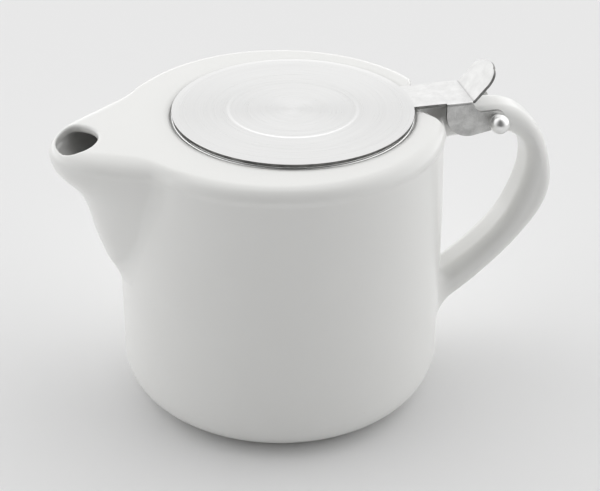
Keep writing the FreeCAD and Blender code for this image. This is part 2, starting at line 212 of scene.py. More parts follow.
def ceramic(x, y, z, hd=None):
    """Signed distance, in mm, to the glazed pot: vessel, beak spout and bow handle in one."""
    r = np.hypot(x, y)
    side = rounded_box2(r, z, BODY_R, 0.0, 240.0, 13.0, 1.0)
    out = side.copy()
    m = (x < -30) & (z > 30)
    if m.any():
        sp = spout_sdf(x[m], y[m], z[m])
        k = 0.9 + 2.4 * (1 - smoothstep(z[m], 46, 72))
        out[m] = round_or(side[m], sp, k)
    # the top: a flat ring that runs out into the sloping top of the beak
    sl = 2.4 / 26.0
    w = -50.0 - x
    top = 100.4 - sl * 0.5 * (w + np.sqrt(w * w + 9.0))
    # the wall draws in a little below the ring's edge
    out = out + 0.75 * smoothstep(z, 60, 92) * (1 - smoothstep(z + 100.4 - top, 94.0, 96.6)) * (1 - smoothstep(-x, 64, 74))
    out = round_and(out, (z - top) * 0.996, 4.5 + 2.0 * smoothstep(-x, 41, 48) - 2.0 * smoothstep(-x, 56, 72))
    # handle
    m = x > 42
    if m.any():
        h2 = HANDLE(x[m], z[m]) if hd is None else hd[m]
        h3 = round_and(h2, np.abs(y[m]) - 7.8, 4.6)
        k = 1.1 + 5.6 * (1 - smoothstep(z[m], 40, 80))
        out[m] = round_or(out[m], h3, k)
    # the ring is scooped out under the lid's arm, flaring into the handle's root
    m = (x > 40) & (x < 64) & (z > 90)
    if m.any():
        sx, sy, sz = x[m], np.abs(y[m]), z[m]
        run = np.maximum(sx - 44.0, 0.01)
        half, slope = 8.2 + 0.25 * run ** 1.9, 0.475 * run ** 0.9
        zf = 99.2 - 3.2 * smoothstep(sx, 45.4, 48.6) + 3.0 * smoothstep(sx, 54, 61)
        scoop = round_and((sy - half) / np.sqrt(1 + slope * slope), zf - sz, 1.2)
        scoop = np.maximum(scoop, 43.2 - sx)
        out[m] = round_and(out[m], -scoop, 1.4)
    # inside
    cav = rounded_box2(r, z, 50.0, 5.5, 93.6, 9.0, 3.5)
    m = z > 86
    if m.any():
        ro = np.hypot(x[m] - OX, y[m])
        cut = OPENING(np.maximum(ro, 30.2), z[m])      # open all the way in to the axis
        cav[m] = round_or(cav[m], cut, 0.9)
    out = np.maximum(out, -cav)
    m = (x < -32) & (np.abs(y) < 28) & (z > 52)
    if m.any():
        mx, my, mz = x[m], y[m], z[m]
        # the spout is cast hollow, with an even wall, and opens into the chamber
        sp = spout_sdf(mx, my, mz)
        hollow = round_and(sp + 4.0 - 1.2 * smoothstep(mz, 84, 93), mz - (top[m] - 2.9), 2.2)
        hollow = round_and(hollow, np.interp(np.clip(mz, ZG[0], ZG[-1]), ZG, KEEL) + 3.2 - mx, 1.5)
        hollow = round_and(hollow, mx + 43.0, 2.0)
        joined = round_or(cav[m], np.maximum(hollow, 56.0 - mz), 1.5)
        body = np.maximum(out[m], -joined)
        # the mouth: an egg-shaped hole through the beak's roof, wider towards the tip
        lx = (mx + 66.9) / np.where(mx < -66.9, 7.0, 6.5)
        b = 9.3 * (1 - 0.17 * lx)
        k0 = np.sqrt(lx * lx + (my / b) ** 2) + 1e-6
        k1 = np.sqrt((lx / 6.8) ** 2 + (my / b ** 2) ** 2) + 1e-6
        wall = sp + 2.6 + 0.15 * np.maximum(94.0 - mz, 0.0) - 8.0 * smoothstep(mz, 93, 97)
        hole = round_and(k0 * (k0 - 1) / k1, wall, 0.8)
        out[m] = np.where(mz > 80.0, round_and(body, -hole, 1.1), body)
    # foot: a shallow recess inside the unglazed ring
    m = z < 4
    if m.any():
        f = np.maximum(r[m] - 36.5, z[m] - 0.8)
        f = round_and(r[m] - 36.5, z[m] - 0.8, 0.7)
        out[m] = round_and(out[m], -f, 0.5)
    # bore for the hinge pin
    m = (np.abs(x - PIN_X) < 8) & (np.abs(z - PIN_Z) < 8)
    if m.any():
        out[m] = round_and(out[m], -(np.hypot(x[m] - PIN_X, z[m] - PIN_Z) - 1.9), 0.4)
    return out


def axis_grid(knots):
    """Grid lines whose spacing changes between the knots: (from, to, step)."""
    vals = []
    for a, b, h in knots:
        n = max(1, int(round((b - a) / h)))
        vals += list(np.linspace(a, b, n, endpoint=False))
    return np.array(vals + [knots[-1][1]])


def surface_nets(xs, ys, zs, F):
    """Dual mesh of F = 0 on a rectilinear grid."""
    s = F < 0
    nx, ny, nz = F.shape
    cnt = np.zeros((nx - 1, ny - 1, nz - 1), np.int8)
    for a in (0, 1):
        for b in (0, 1):
            for c in (0, 1):
                cnt += s[a:nx - 1 + a, b:ny - 1 + b, c:nz - 1 + c]
    mixed = (cnt > 0) & (cnt < 8)
    I, J, K = np.nonzero(mixed)
    ids = np.full(mixed.shape, -1, np.int64)
    ids[I, J, K] = np.arange(len(I))
    acc, num = np.zeros((len(I), 3)), np.zeros(len(I))
    G = (xs, ys, zs)
    corners = [(a, b, c) for a in (0, 1) for b in (0, 1) for c in (0, 1)]
    for p in corners:
        for ax in range(3):
            if p[ax]:
                continue
            q = list(p); q[ax] = 1
            fa, fb = F[I + p[0], J + p[1], K + p[2]], F[I + q[0], J + q[1], K + q[2]]
            m = (fa < 0) != (fb < 0)
            t = fa[m] / (fa[m] - fb[m])
            pos = np.stack([G[0][I[m] + p[0]], G[1][J[m] + p[1]], G[2][K[m] + p[2]]], 1)
            far = np.stack([G[0][I[m] + q[0]], G[1][J[m] + q[1]], G[2][K[m] + q[2]]], 1)
            acc[m] += pos + (far - pos) * t[:, None]
            num[m] += 1
    V = acc / num[:, None]
    quads = []
    for ax in range(3):
        sl0, sl1 = [slice(None)] * 3, [slice(None)] * 3
        sl0[ax], sl1[ax] = slice(0, -1), slice(1, None)
        a, b = s[tuple(sl0)], s[tuple(sl1)]
        o1, o2 = [(1, 2), (2, 0), (0, 1)][ax]
        ch = a != b
        inner = [slice(None)] * 3
        inner[o1], inner[o2] = slice(1, -1), slice(1, -1)
        mask = np.zeros_like(ch)
        mask[tuple(inner)] = ch[tuple(inner)]
        e = np.stack(np.nonzero(mask), 1)
        def cell(d1, d2):
            c = e.copy(); c[:, o1] -= d1; c[:, o2] -= d2
            return ids[c[:, 0], c[:, 1], c[:, 2]]
        q = np.stack([cell(1, 1), cell(0, 1), cell(0, 0), cell(1, 0)], 1)
        flip = ~a[e[:, 0], e[:, 1], e[:, 2]]
        q[flip] = q[flip][:, ::-1]
        quads.append(q)
    return V, np.concatenate(quads)


def grad(f, P, e):
    g = np.empty_like(P)
    for k in range(3):
        d = np.zeros(3); d[k] = e
        a, b = P + d, P - d
        g[:, k] = (f(a[:, 0], a[:, 1], a[:, 2]) - f(b[:, 0], b[:, 1], b[:, 2])) / (2 * e)
    return g


def project(f, P, rounds, e, limit):
    for _ in range(rounds):
        d = f(P[:, 0], P[:, 1], P[:, 2])
        g = grad(f, P, e)
        n2 = np.maximum((g * g).sum(1), 0.25)
        step = g * (d / n2)[:, None]
        ln = np.linalg.norm(step, axis=1, keepdims=True)
        P = P - step * np.minimum(1, limit / np.maximum(ln, 1e-9))
    return P


def new_mesh(name, verts, faces, smooth=True, scale=MM):
    me = bpy.data.meshes.new(name)
    me.from_pydata([tuple(v) for v in (np.asarray(verts, float) * scale)], [], [tuple(int(i) for i in f) for f in faces])
    me.validate()
    ob = bpy.data.objects.new(name, me)
    scene.collection.objects.link(ob)
    if smooth:
        me.polygons.foreach_set("use_smooth", [True] * len(me.polygons))
    me.update()
    return ob


def make_pot():
    step = 0.8
    xs = axis_grid([(-79.0, 99.4, step)])
    ys = axis_grid([(-58.4, 58.4, step)])
    zs = axis_grid([(-1.2, 2.0, 0.4), (2.0, 90.0, step), (90.0, 97.0, 0.6), (97.0, 102.2, 0.35)])
    X, Z = np.meshgrid(xs, zs, indexing="ij")
    hd2 = HANDLE(X, Z)
    F = np.empty((len(xs), len(ys), len(zs)))
    for j0 in range(0, len(ys), 16):
        yj = ys[j0:j0 + 16]
        x3 = np.broadcast_to(xs[:, None, None], (len(xs), len(yj), len(zs))).copy()
        y3 = np.broadcast_to(yj[None, :, None], x3.shape).copy()
        z3 = np.broadcast_to(zs[None, None, :], x3.shape).copy()
        F[:, j0:j0 + 16] = ceramic(x3, y3, z3, np.broadcast_to(hd2[:, None, :], x3.shape))
    V, Q = surface_nets(xs, ys, zs, F)
    V = project(ceramic, V, 2, 0.02, 0.4)
    edges = np.concatenate([Q[:, [0, 1]], Q[:, [1, 2]], Q[:, [2, 3]], Q[:, [3, 0]]])
    deg = np.bincount(edges.ravel(), minlength=len(V))
    for _ in range(3):
        N = grad(ceramic, V, 0.05)
        N /= np.maximum(np.linalg.norm(N, axis=1, keepdims=True), 1e-9)
        A = np.stack([np.bincount(edges[:, 0], V[edges[:, 1], k], len(V)) + np.bincount(edges[:, 1], V[edges[:, 0], k], len(V))
                      for k in range(3)], 1) / deg[:, None]
        D = A - V
        D -= N * (D * N).sum(1, keepdims=True)
        V = project(ceramic, V + 0.6 * D, 1, 0.02, 0.3)
    V = project(ceramic, V, 1, 0.01, 0.2)
    V[np.abs(V[:, 2]) < 0.02, 2] = 0.0
    V[:, 2] = np.maximum(V[:, 2], 0.0)
    N = grad(ceramic, V, 0.12)
    N /= np.maximum(np.linalg.norm(N, axis=1, keepdims=True), 1e-9)
    ob = new_mesh("ceramic_pot", V, Q)
    ob.data.normals_split_custom_set_from_vertices([tuple(n) for n in N])
    return ob


# =====================================================================
# sheet metal
# =====================================================================
def finish_sheet(ob, thick, bevel, offset=-1.0, segs=2, rim_slot=0):
    m = ob.modifiers.new("thickness", "SOLIDIFY")
    m.thickness, m.offset, m.use_even_offset, m.use_rim = thick * MM, offset, True, True
    m.material_offset_rim = rim_slot
    m = ob.modifiers.new("edge", "BEVEL")
    m.width, m.segments, m.limit_method, m.angle_limit = bevel * MM, segs, "ANGLE", math.radians(50)
    m.use_clamp_overlap = True
    m = ob.modifiers.new("shade", "WEIGHTED_NORMAL")
    m.mode, m.weight, m.keep_sharp = "FACE_AREA", 80, False
    return ob


def make_lid():
    verts, faces, mats = [], [], []

    def add(x, y, z):
        verts.append((x, y, z))
        return len(verts) - 1

    aw = 8.3                                       # half width of the arm between disc and ears
    ta = math.asin(aw / LID_R)
    yy = np.linspace(-aw, aw, 15)
    th_arm = np.arcsin(yy / LID_R)
    th_rest = np.linspace(ta, 2 * math.pi - ta, 226)[1:-1]
    th = np.concatenate([th_arm, th_rest])
    n, na = len(th), len(th_arm)
    # radius, drop below the flat top
    rings = [(1.2, 0.3), (3, 0.3), (6, 0.3), (10, 0.3), (14, 0.3), (18, 0.3), (20.2, 0.3), (20.7, 0.285), (21.1, 0.22),
             (21.5, 0.12), (21.9, 0.03), (22.4, 0.0), (25, 0), (29, 0), (33, 0), (35.6, 0), (36.6, 0.008), (37.6, 0.03),
             (38.5, 0.07), (39.3, 0.12), (40.0, 0.17)]
    prev = None
    c = add(OX, 0, LID_Z1 - 0.3)
    for r, dz in rings:
        ring = []
        for t in th:
            x, y = OX + r * math.cos(t), r * math.sin(t)
            k = dz
            if r > 30:
                near = float(smoothstep(np.array(abs(math.atan2(math.sin(t), math.cos(t)))), ta * 0.9, ta * 1.9))
                k = dz * near
            ring.append(add(x, y, LID_Z1 - k))
        for i in range(n):
            j = (i + 1) % n
            faces.append((c, ring[i], ring[j]) if prev is None else (prev[i], ring[i], ring[j], prev[j]))
            mats.append(0)
        prev = ring
    # arm
    rows = [prev[:na]]
    ri = 0.9
    xb = FOLD_X - ri * math.tan(math.radians(24.5))
    ear_rows = [54.7, 55.6, 57.5, 59.5, 61.5, 63.0, xb]
    for x in [45.6, 47.5, 49.5, 51.5, 53.2, 54.3] + ear_rows:
        rows.append([add(x, y, LID_Z1) for y in yy])
    for a, b in zip(rows, rows[1:]):
        for i in range(na - 1):
            faces.append((a[i], b[i], b[i + 1], a[i + 1])); mats.append(1)
    # ears: bend down at both sides, then a flat plate
    br = 1.0
    e0 = len(rows) - len(ear_rows)
    zb = LID_Z1 - br
    for sgn, col in ((-1, 0), (1, na - 1)):
        strip = [[rows[e0 + i][col] for i in range(len(ear_rows))]]
        for a in np.radians([15, 30, 45, 60, 75, 90]):
            strip.append([add(x, sgn * (aw + br * math.sin(a)), zb + br * math.cos(a)) for x in ear_rows])
        for a, b in zip(strip, strip[1:]):
            for i in range(len(ear_rows) - 1):
                q = (a[i], b[i], b[i + 1], a[i + 1])
                # bend rows next to the arm take slot 1, the rest slot 3, the ears' darker steel with painted shade
                faces.append(q if sgn < 0 else q[::-1]); mats.append(1 if a is strip[0] or a is strip[1] else 3)
        top = strip[-1]
        yo = sgn * (aw + br)
        out = []
        x0, zl, er, tilt = 54.7, 90.6, 8.4, 7.0
        for a in np.radians(np.linspace(180, 270 + tilt, 14)):
            out.append((x0 + er + er * math.cos(a), zl - 1.3 + er + er * math.sin(a)))
        for a in np.radians(np.linspace(-90 + tilt, 90, 20)):
            out.append((PIN_X + 3.4 * math.cos(a), PIN_Z + 3.4 * math.sin(a)))
        cx, cz, cr = 67.5, PIN_Z + 3.4 + 3.4, 3.4
        a1 = math.degrees(math.acos((cx - xb) / cr)) if cx - xb < cr else 0
        for a in np.radians(np.linspace(270, 180 + max(a1 * 0.0, 3), 10)):
            px, pz = cx + cr * math.cos(a), cz + cr * math.sin(a)
            if pz < zb - 0.15 and px > xb + 0.02:
                out.append((px, pz))
        edge = [add(x, yo, z) for x, z in out]
        loop = top[::-1] + edge
        # the ear plate takes slot 3, the darker steel with painted shade
        faces.append(tuple(loop if sgn > 0 else loop[::-1])); mats.append(3)
    # thumb tab: bend up, then a flat tongue with a rounded end
    # the tab's faces take slot 2, a darker copy of the arm's steel: painted shade
    last = rows[-1]
    an = math.radians(49.0)
    for a in np.linspace(0, an, 7)[1:]:
        cur = [add(xb + ri * math.sin(a), y, LID_Z1 + ri * (1 - math.cos(a))) for y in yy]
        for i in range(na - 1):
            faces.append((last[i], cur[i], cur[i + 1], last[i + 1])); mats.append(2)
        last = cur
    dx, dz = math.cos(an), math.sin(an)
    L, te, crown, tw = 12.8, 5.2, 0.9, aw

    def tabpt(s, y):
        return (FOLD_X + dx * s, y, LID_Z1 + dz * s)
    for s in (1.5, 3.5, 5.2, L - crown - te):
        cur = [add(*tabpt(s, y)) for y in yy]
        for i in range(na - 1):
            faces.append((last[i], cur[i], cur[i + 1], last[i + 1])); mats.append(2)
        last = cur
    end = []
    for a in np.radians(np.linspace(0, 84, 12))[1:]:
        end.append((L - crown - te + te * math.sin(a), tw - te + te * math.cos(a)))
    for y in np.linspace(tw - te, te - tw, 9)[0:]:
        end.append((L - crown * (y / (tw - te)) ** 2 * 0.55, y))
    mir = [(s, -y) for s, y in end[:11]][::-1]
    loop = [add(*tabpt(s, y)) for s, y in end + mir]
    faces.append(tuple(last) + tuple(loop)); mats.append(2)
    ob = new_mesh("lid_sheet", verts, faces)
    ob.data.polygons.foreach_set("material_index", mats)
    # outward side up
    bm = bmesh.new(); bm.from_mesh(ob.data)
    bmesh.ops.recalc_face_normals(bm, faces=bm.faces)
    up = sum(f.normal.z * f.calc_area() for f in bm.faces)
    if up < 0:
        bmesh.ops.reverse_faces(bm, faces=bm.faces)
    bm.to_mesh(ob.data); bm.free()
    # slot 4, the near-black edge steel, goes on the sheet's cut edges: painted shade
    return finish_sheet(ob, SHEET, 0.10, rim_slot=4)


def lathe(name, profile, n, axis="Z", origin=(0, 0, 0), closed=False, sharp=40):
    """Revolves (radius, height) points. Points on the axis become one vertex."""
    verts, faces, rows = [], [], []
    ang = np.linspace(0, 2 * math.pi, n, endpoint=False)
    for r, h in profile:
        if r < 1e-6:
            verts.append((0, 0, h)); rows.append([len(verts) - 1] * n)
        else:
            rows.append(list(range(len(verts), len(verts) + n)))
            verts += [(r * math.cos(a), r * math.sin(a), h) for a in ang]
    pairs = list(zip(rows, rows[1:])) + ([(rows[-1], rows[0])] if closed else [])
    for a, b in pairs:
        for i in range(n):
            j = (i + 1) % n
            q = []
            for v in (a[i], a[j], b[j], b[i]):
                if v not in q:
                    q.append(v)
            if len(q) > 2:
                faces.append(q)
    v = np.array(verts, float)
    if axis == "Y":
        v = v[:, [0, 2, 1]]
    v += np.array(origin, float)
    ob = new_mesh(name, v, faces)
    bm = bmesh.new(); bm.from_mesh(ob.data)
    bmesh.ops.recalc_face_normals(bm, faces=bm.faces)
    bm.to_mesh(ob.data); bm.free()
    ob.data.set_sharp_from_angle(angle=math.radians(sharp))
    return ob


def arc2(cx, cz, r, a0, a1, n):
    return [(cx + r * math.cos(t), cz + r * math.sin(t)) for t in np.radians(np.linspace(a0, a1, n))]


def make_pin():
    """Rod with a neck and a slightly flattened ball, lying along Y."""
    b = 3.25
    cy = -(9.3 + 0.8 + b * 0.88)
    ball = [(b * math.sin(t), cy - b * math.cos(t)) for t in np.radians(np.linspace(0, 152, 40))]
    neck = [(2.3, -9.3 - 0.62), (2.3, -9.3), (1.5, -9.3)]
    prof = ball + neck + [(1.5, 10.3), (1.3, 10.45), (0, 10.45)]
    return lathe("pin_with_ball", prof, 64, "Y", (PIN_X, 0, PIN_Z))


def make_cap():
    """Low dome that closes the pin's far end."""
    rs, h = 3.6, 2.4
    top = math.acos((rs - h) / rs)
    dome = [(rs * math.sin(t), 9.3 + h - rs + rs * math.cos(t)) for t in np.linspace(0, top * 0.985, 26)]
    prof = dome + [(dome[-1][0] - 0.12, 9.3), (0, 9.3)]
    return lathe("dome_cap", prof, 64, "Y", (PIN_X, 0, PIN_Z))


def make_rim():
    """The basket's flange with its polished bead, and the collar that the wall hangs from."""
    fz0, fz1, cr, ct = 99.3, 100.0, 37.2, 0.6
    p = [(cr - ct, 86.1), (cr - ct + 0.1, 86.0), (cr - 0.1, 86.0), (cr, 86.1), (cr, fz0 - 0.6)]
    p += arc2(cr + 0.6, fz0 - 0.6, 0.6, 180, 90, 6)[1:]
    p += [(39.8, fz0)] + arc2(39.8, (fz0 + fz1) / 2, 0.35, -80, 80, 9) + [(39.55, fz1)]
    p += arc2(38.9, fz1, 0.5, 0, 180, 15)
    p += [(38.3, fz1 - 0.03)] + arc2(cr + 0.5, fz1 - 1.1, 1.07, 90, 180, 8)
    return lathe("basket_rim", p, 256, "Z", (OX, 0, 0), closed=True, sharp=60)


def perforated_wall():
    """Drum with rows of real round holes, staggered."""
    ro, t = 36.6, 0.5
    z0, z1 = 34.6, 88.5
    cols, rows = 96, 20
    pz0, pz1 = 40.2, 84.6
    du, dz = 2 * math.pi / cols, (pz1 - pz0) / rows
    hr = 0.62
    verts, faces, key = [], [], {}

    def vid(u, z):
        u = u % (2 * math.pi)
        k = (round(u * 1e5) % round(2 * math.pi * 1e5), round(z * 1e4))
        if k not in key:
            key[k] = len(verts)
            verts.append((ro * math.cos(u), ro * math.sin(u), z))
        return key[k]
    for r in range(rows):
        off = 0.5 * du * (r % 2)
        za, zb = pz0 + r * dz, pz0 + (r + 1) * dz
        for c in range(cols):
            ua = c * du + off
            ub = ua + du
            bound = [(ua + du * f, za) for f in (0, .25, .5, .75)] + [(ub, za), (ub, (za + zb) / 2)] + \
                    [(ub - du * f, zb) for f in (0, .25, .5, .75)] + [(ua, zb), (ua, (za + zb) / 2)]
            uc, zc_ = (ua + ub) / 2, (za + zb) / 2
            ring = []
            for (u, z) in bound:
                a = math.atan2(z - zc_, (u - uc) * ro)
                verts.append((ro * math.cos(uc + hr * math.cos(a) / ro), ro * math.sin(uc + hr * math.cos(a) / ro), zc_ + hr * math.sin(a)))
                ring.append(len(verts) - 1)
            ids = [vid(u, z) for u, z in bound]
            for i in range(12):
                j = (i + 1) % 12
                faces.append((ids[i], ids[j], ring[j], ring[i]))
    # plain bands above and below
    for za, zs_ in ((pz0, [37.5, z0]), (pz1, [86.5, z1])):
        us = [c * du + du * f for c in range(cols) for f in (0, .25, .5, .75)]
        prev = [vid(u, za) for u in us]
        for z in zs_:
            cur = [vid(u, z) for u in us]
            for i in range(len(us)):
                j = (i + 1) % len(us)
                q = (prev[i], prev[j], cur[j], cur[i])
                faces.append(q[::-1] if z < za else q)
            prev = cur
    v = np.array(verts); v[:, 0] += OX
    ob = new_mesh("basket_wall", v, faces)
    bm = bmesh.new(); bm.from_mesh(ob.data)
    bmesh.ops.recalc_face_normals(bm, faces=bm.faces)
    s = sum((f.normal.x * (f.calc_center_median().x - OX * MM) + f.normal.y * f.calc_center_median().y) for f in bm.faces)
    if s < 0:
        bmesh.ops.reverse_faces(bm, faces=bm.faces)
    bm.to_mesh(ob.data); bm.free()
    m = ob.modifiers.new("thickness", "SOLIDIFY")
    m.thickness, m.offset, m.use_even_offset = t * MM, -1.0, True
    return ob


def perforated_base():
    """Pan with a turned-up rim and a field of round holes."""
    z0, hr, pitch = 34.0, 0.62, 2.45
    nb = 144
    rad = 34.4
    pts = [Vector((rad * math.cos(t), rad * math.sin(t))) for t in np.linspace(0, 2 * math.pi, nb, endpoint=False)]
    edges = [(i, (i + 1) % nb) for i in range(nb)]
    centres = []
    rows = int(32 / (pitch * 0.866)) + 1
    for j in range(-rows, rows + 1):
        y = j * pitch * 0.8660254
        for i in range(-20, 21):
            x = (i + 0.5 * (j % 2)) * pitch
            if math.hypot(x, y) < 31.6:
                centres.append((x, y))
    for x, y in centres:
        b = len(pts)
        pts += [Vector((x + hr * math.cos(t), y + hr * math.sin(t))) for t in np.linspace(0, 2 * math.pi, 12, endpoint=False)]
        edges += [(b + i, b + (i + 1) % 12) for i in range(12)]
    co, _, tris, *_ = delaunay_2d_cdt(pts, edges, [], 0, 1e-6)
    cc = np.array(centres)
    keep = []
    for f in tris:
        m = np.mean([[co[i].x, co[i].y] for i in f], axis=0)
        if np.hypot(*m) < rad and np.min(np.hypot(cc[:, 0] - m[0], cc[:, 1] - m[1])) > hr * 0.985:
            keep.append(tuple(f))
    verts = [(p.x, p.y, z0) for p in co]
    # the outer loop is the first nb input points
    ringids = []
    for t in np.linspace(0, 2 * math.pi, nb, endpoint=False):
        d = [abs(p.x - rad * math.cos(t)) + abs(p.y - rad * math.sin(t)) for p in co]
        ringids.append(int(np.argmin(d)))
    prev = ringids
    for r, z in arc2(34.9, z0 + 1.2, 1.2, -90, 0, 6)[0:] + [(36.1, 36.5), (36.1, 37.9)]:
        cur = []
        for t in np.linspace(0, 2 * math.pi, nb, endpoint=False):
            verts.append((r * math.cos(t), r * math.sin(t), z)); cur.append(len(verts) - 1)
        for i in range(nb):
            j = (i + 1) % nb
            keep.append((prev[i], prev[j], cur[j], cur[i]))
        prev = cur
    v = np.array(verts); v[:, 0] += OX
    ob = new_mesh("basket_base", v, keep)
    bm = bmesh.new(); bm.from_mesh(ob.data)
    bmesh.ops.recalc_face_normals(bm, faces=bm.faces)
    if sum(f.normal.z * f.calc_area() for f in bm.faces) > 0:
        bmesh.ops.reverse_faces(bm, faces=bm.faces)
    bm.to_mesh(ob.data); bm.free()
    m = ob.modifiers.new("thickness", "SOLIDIFY")
    m.thickness, m.offset, m.use_even_offset = 0.6 * MM, -1.0, True
    return ob


# =====================================================================
# materials
# =====================================================================
class Nodes:
    def __init__(self, name):
        self.mat = bpy.data.materials.new(name)
        self.mat.use_nodes = True
        self.t = self.mat.node_tree
        self.t.nodes.clear()
        self.out = self.new("ShaderNodeOutputMaterial")
        self.bsdf = self.new("ShaderNodeBsdfPrincipled")
        self.link(self.bsdf.outputs[0], self.out.inputs["Surface"])
        self.co = self.new("ShaderNodeTexCoord").outputs["Object"]

    def new(self, kind, **kw):
        n = self.t.nodes.new(kind)
        for k, v in kw.items():
            setattr(n, k, v)
        return n

    def link(self, a, b):
        self.t.links.new(a, b)

    def set(self, **kw):
        for k, v in kw.items():
            self.bsdf.inputs[k.replace("_", " ")].default_value = v

    def math(self, op, a, b=None, c=None, clamp=False):
        n = self.new("ShaderNodeMath", operation=op, use_clamp=clamp)
        for i, v in enumerate((a, b, c)):
            if v is None:
                continue
            if isinstance(v, (int, float)):
                n.inputs[i].default_value = v
            else:
                self.link(v, n.inputs[i])
        return n.outputs[0]

    def vec(self, op, a, b=None):
        n = self.new("ShaderNodeVectorMath", operation=op)
        for i, v in enumerate((a, b)):
            if v is None:
                continue
            if isinstance(v, (tuple, list)):
                n.inputs[i].default_value = v
            else:
                self.link(v, n.inputs[i])
        return n.outputs["Value"] if op in ("LENGTH", "DOT_PRODUCT", "DISTANCE") else n.outputs["Vector"]

    def noise(self, scale, detail=2.0, rough=0.5, vec=None, w=None, dist=0.0):
        n = self.new("ShaderNodeTexNoise")
        n.inputs["Scale"].default_value = scale
        n.inputs["Detail"].default_value = detail
        n.inputs["Roughness"].default_value = rough
        n.inputs["Distortion"].default_value = dist
        self.link(vec if vec is not None else self.co, n.inputs["Vector"])
        return n.outputs["Fac"]

    def maprange(self, v, a, b, c, d, smooth=False):
        n = self.new("ShaderNodeMapRange", interpolation_type="SMOOTHSTEP" if smooth else "LINEAR")
        self.link(v, n.inputs["Value"])
        for k, x in zip(("From Min", "From Max", "To Min", "To Max"), (a, b, c, d)):
            n.inputs[k].default_value = x
        return n.outputs[0]

    def mixcol(self, f, a, b):
        n = self.new("ShaderNodeMix", data_type="RGBA")
        for s, v in ((0, f), (6, a), (7, b)):
            if isinstance(v, (tuple, list)):
                n.inputs[s].default_value = v
            elif isinstance(v, (int, float)):
                n.inputs[s].default_value = v
            else:
                self.link(v, n.inputs[s])
        return n.outputs[2]

    def bump(self, height, strength, dist, normal=None):
        n = self.new("ShaderNodeBump")
        n.inputs["Strength"].default_value = strength
        n.inputs["Distance"].default_value = dist
        self.link(height, n.inputs["Height"])
        if normal is not None:
            self.link(normal, n.inputs["Normal"])
        return n.outputs[0]


def glaze_material():
    m = Nodes("white_glaze")
    sep = m.new("ShaderNodeSeparateXYZ"); m.link(m.co, sep.inputs[0])
    z = sep.outputs[2]
    r = m.math("POWER", m.math("ADD", m.math("POWER", sep.outputs[0], 2.0), m.math("POWER", sep.outputs[1], 2.0)), 0.5)
    broad = m.noise(22.0, 3.0, 0.55)
    fine = m.noise(900.0, 2.0, 0.5)
    cloud = m.mixcol(broad, (0.790, 0.790, 0.772, 1), (0.822, 0.822, 0.806, 1))
    # tiny iron specks that show through the glaze here and there
    vor = m.new("ShaderNodeTexVoronoi", feature="F1"); vor.inputs["Scale"].default_value = 170.0
    m.link(m.co, vor.inputs["Vector"])
    keep = m.maprange(m.noise(41.0, 0.0), 0.66, 0.70, 0.0, 1.0)
    speck = m.math("MULTIPLY", m.maprange(vor.outputs["Distance"], 0.035, 0.06, 1.0, 0.0), keep, clamp=True)
    col = m.mixcol(m.math("MULTIPLY", speck, 0.22), cloud, (0.50, 0.47, 0.41, 1))
    # bare clay on the foot ring
    ragged = m.math("ADD", z, m.math("MULTIPLY", m.math("SUBTRACT", m.noise(260.0, 3.0), 0.5), 0.0005))
    foot = m.math("MULTIPLY", m.maprange(ragged, 0.00045, 0.00062, 1.0, 0.0), m.math("GREATER_THAN", r, 0.0359), clamp=True)
    clay = m.mixcol(m.noise(1500.0, 4.0, 0.7), (0.62, 0.57, 0.48, 1), (0.80, 0.76, 0.68, 1))
    col = m.mixcol(foot, col, clay)
    m.link(col, m.bsdf.inputs["Base Color"])
    rough = m.maprange(m.noise(60.0, 4.0, 0.6), 0.3, 0.7, 0.30, 0.37)
    rough = m.math("ADD", rough, m.math("MULTIPLY", foot, 0.5))
    m.link(rough, m.bsdf.inputs["Roughness"])
    wave = m.bump(m.noise(120.0, 2.0, 0.5), 0.10, 0.0004)
    peel = m.bump(fine, 0.05, 0.00006, wave)
    grain = m.bump(m.math("MULTIPLY", m.noise(4200.0, 2.0), foot), 0.6, 0.0001, peel)
    m.link(grain, m.bsdf.inputs["Normal"])
    m.set(IOR=1.5, Coat_Weight=0.35, Coat_Roughness=0.16, Coat_IOR=1.5)
    return m.mat


